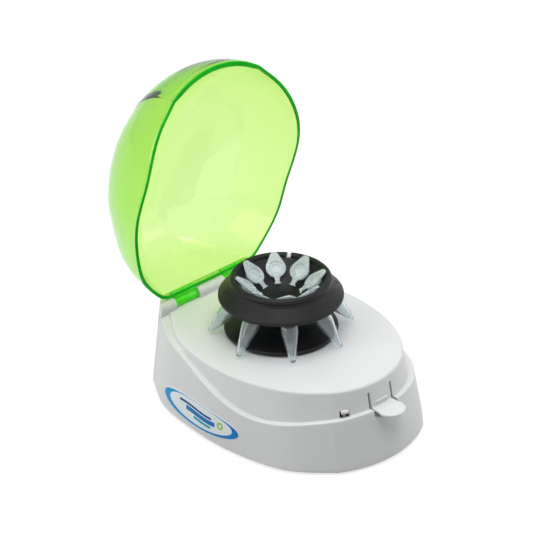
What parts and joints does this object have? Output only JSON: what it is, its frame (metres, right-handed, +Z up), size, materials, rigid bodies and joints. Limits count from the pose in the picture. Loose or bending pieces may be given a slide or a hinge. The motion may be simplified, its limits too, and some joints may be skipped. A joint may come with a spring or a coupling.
{
  "type": "mini centrifuge",
  "caption": "Compact bench centrifuge with an egg-plan base, tinted hinged dome lid, front latch and a fixed-angle rotor holding closed tubes.",
  "frame": {"origin": "centre of the open model's box, on the plane of the feet", "axes": "+X right, -Y front with the latch, +Y rear with the hinge, +Z up"},
  "size_m": [0.1389, 0.2317, 0.2118],
  "materials": {
    "housing_grey": "fine matte moulded shell",
    "housing_white": "fine matte moulded shell",
    "screw_steel": "zinc plated",
    "pin_steel": "ground",
    "badge": "printed gloss label",
    "motor_can": "plated can",
    "plate_steel": "pressed sheet",
    "damper_rubber": "matte",
    "board_green": "solder mask",
    "chip_black": "moulded",
    "capacitor": "sleeved can",
    "switch_black": "moulded",
    "jack_black": "moulded",
    "foot_rubber": "matte",
    "lid_green": "clear tinted",
    "button_white": "moulded",
    "hub_aluminium": "turned",
    "rotor_black": "fine matte",
    "tube_clear": "translucent",
    "cap_clear": "translucent"
  },
  "bodies": {
    "base": {"lower_housing": "housing_grey", "upper_housing": "housing_white", "hinge_riser": "housing_white", "bottom_plate": "housing_grey", "foot_1": "foot_rubber", "foot_2": "foot_rubber", "foot_3": "foot_rubber", "foot_4": "foot_rubber", "housing_screws": "screw_steel", "hinge_pin_left": "pin_steel", "hinge_pin_right": "pin_steel", "badge": "badge", "motor": "motor_can", "motor_plate": "plate_steel", "motor_dampers": "damper_rubber", "damper_screws": "screw_steel", "motor_screws": "screw_steel", "circuit_board": "board_green", "board_chip": "chip_black", "board_capacitor": "capacitor", "board_screws": "screw_steel", "lid_switch": "switch_black", "power_jack": "jack_black"},
    "lid": {"lid_dome": "lid_green"},
    "latch": {"latch": "housing_white"},
    "lid_button": {"lid_button": "button_white"},
    "spindle": {"spindle_hub": "hub_aluminium", "motor_shaft": "pin_steel"},
    "rotor": {"rotor": "rotor_black"},
    "tube_1": {"tube_1_vial": "tube_clear", "tube_1_cap": "cap_clear"},
    "tube_2": {"tube_2_vial": "tube_clear", "tube_2_cap": "cap_clear"},
    "tube_3": {"tube_3_vial": "tube_clear", "tube_3_cap": "cap_clear"},
    "tube_4": {"tube_4_vial": "tube_clear", "tube_4_cap": "cap_clear"},
    "tube_5": {"tube_5_vial": "tube_clear", "tube_5_cap": "cap_clear"},
    "tube_6": {"tube_6_vial": "tube_clear", "tube_6_cap": "cap_clear"},
    "tube_7": {"tube_7_vial": "tube_clear", "tube_7_cap": "cap_clear"},
    "tube_8": {"tube_8_vial": "tube_clear", "tube_8_cap": "cap_clear"}
  },
  "joints": [
    {"name": "lid_hinge", "type": "hinge", "parent": "base", "child": "lid", "pos_m": [0, 0.0555, 0.0525], "axis": [-1, 0, 0], "range_deg": [-92, 0]},
    {"name": "latch_press", "type": "hinge", "parent": "base", "child": "latch", "pos_m": [0, -0.0967, 0.0452], "axis": [1, 0, 0], "range_deg": [0, 5], "stiffness_Nm_per_rad": 0.6},
    {"name": "lid_button_press", "type": "slide", "parent": "base", "child": "lid_button", "axis": [0, 0, -1], "range_m": [0, 0.0022], "stiffness_N_per_m": 120, "springref_m": -0.0005},
    {"name": "spindle_spin", "type": "hinge", "parent": "base", "child": "spindle", "pos_m": [0, -0.0118, 0.05], "axis": [0, 0, 1], "continuous": true},
    {"name": "rotor_lift", "type": "slide", "parent": "spindle", "child": "rotor", "axis": [0, 0, 1], "range_m": [0, 0.016]},
    {"name": "tube_1_lift", "type": "slide", "parent": "rotor", "child": "tube_1", "axis": [-0.6324, -0.1149, 0.766], "range_m": [0, 0.012]},
    {"name": "tube_2_lift", "type": "slide", "parent": "rotor", "child": "tube_2", "axis": [0.3659, 0.5285, -0.766], "range_m": [-0.012, 0]},
    {"name": "tube_3_lift", "type": "slide", "parent": "rotor", "child": "tube_3", "axis": [0.1149, -0.6324, 0.766], "range_m": [0, 0.012]},
    {"name": "tube_4_lift", "type": "slide", "parent": "rotor", "child": "tube_4", "axis": [-0.5285, 0.3659, -0.766], "range_m": [-0.012, 0]},
    {"name": "tube_5_lift", "type": "slide", "parent": "rotor", "child": "tube_5", "axis": [0.6324, 0.1149, 0.766], "range_m": [0, 0.012]},
    {"name": "tube_6_lift", "type": "slide", "parent": "rotor", "child": "tube_6", "axis": [-0.3659, -0.5285, -0.766], "range_m": [-0.012, 0]},
    {"name": "tube_7_lift", "type": "slide", "parent": "rotor", "child": "tube_7", "axis": [-0.1149, 0.6324, 0.766], "range_m": [0, 0.012]},
    {"name": "tube_8_lift", "type": "slide", "parent": "rotor", "child": "tube_8", "axis": [0.5285, -0.3659, -0.766], "range_m": [-0.012, 0]}
  ]
}
